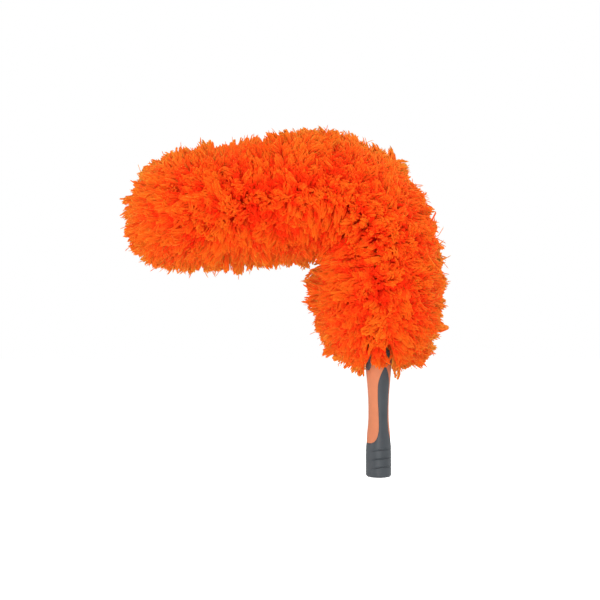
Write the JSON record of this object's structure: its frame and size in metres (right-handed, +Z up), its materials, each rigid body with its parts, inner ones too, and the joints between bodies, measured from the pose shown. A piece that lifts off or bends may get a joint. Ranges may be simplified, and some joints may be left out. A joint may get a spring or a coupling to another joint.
{
  "type": "microfiber duster",
  "caption": "Bendable microfiber duster: a long shaggy yarn head on a wire core, bent to the side on a two-tone handle with a socket for an extension pole.",
  "frame": {"origin": "centre of the pole socket's mouth, in the plane of the handle's bottom ring", "axes": "+Z up along the handle's axis from the socket into the head; the bent head points along -X, and the bend lies in the XZ plane, seen from -Y"},
  "size_m": [0.3832, 0.1571, 0.4164],
  "materials": {
    "grey_plastic": "satin",
    "soft_inlay": "matte",
    "steel_pin": "satin",
    "coated_wire": "satin",
    "clear_cap": "satin",
    "backing_fabric": "matte",
    "elastic_cord": "matte",
    "pile_yarn": "matte"
  },
  "bodies": {
    "handle": {"handle_body": "grey_plastic", "grip_inlay": "soft_inlay", "neck_collar": "grey_plastic", "core_plug": "grey_plastic", "core_pin": "steel_pin", "wire_lower_front": "coated_wire", "wire_lower_back": "coated_wire", "sleeve_lower": "backing_fabric", "neck_elastic": "elastic_cord", "pile_neck": "pile_yarn", "pile_lower": "pile_yarn"},
    "bend_link_1": {"wire_bend_1_front": "coated_wire", "wire_bend_1_back": "coated_wire", "sleeve_bend_1": "backing_fabric", "pile_bend_1": "pile_yarn"},
    "bend_link_2": {"wire_bend_2_front": "coated_wire", "wire_bend_2_back": "coated_wire", "sleeve_bend_2": "backing_fabric", "pile_bend_2": "pile_yarn"},
    "head": {"wire_hairpin": "coated_wire", "tip_cap": "clear_cap", "sleeve_upper": "backing_fabric", "pile_upper_1": "pile_yarn", "pile_upper_2": "pile_yarn", "pile_tip": "pile_yarn"}
  },
  "joints": [
    {"name": "bend_1", "type": "hinge", "parent": "handle", "child": "bend_link_1", "pos_m": [-0.00198, 0, 0.2756], "axis": [0, 1, 0], "range_deg": [0, 31.3], "deforming": ["wire_bend_1_front", "wire_bend_1_back", "sleeve_bend_1", "pile_bend_1"]},
    {"name": "bend_2", "type": "hinge", "parent": "bend_link_1", "child": "bend_link_2", "pos_m": [-0.02445, 0, 0.3125], "axis": [0, 1, 0], "range_deg": [0, 31.3]},
    {"name": "bend_3", "type": "hinge", "parent": "bend_link_2", "child": "head", "pos_m": [-0.06282, 0, 0.33234], "axis": [0, 1, 0], "range_deg": [0, 31.3], "deforming": ["wire_bend_2_front", "wire_bend_2_back", "sleeve_bend_2", "pile_bend_2"]}
  ],
  "couplings": [
    {"joint": "bend_2", "follows": "bend_1", "ratio": 1},
    {"joint": "bend_3", "follows": "bend_1", "ratio": 1}
  ]
}
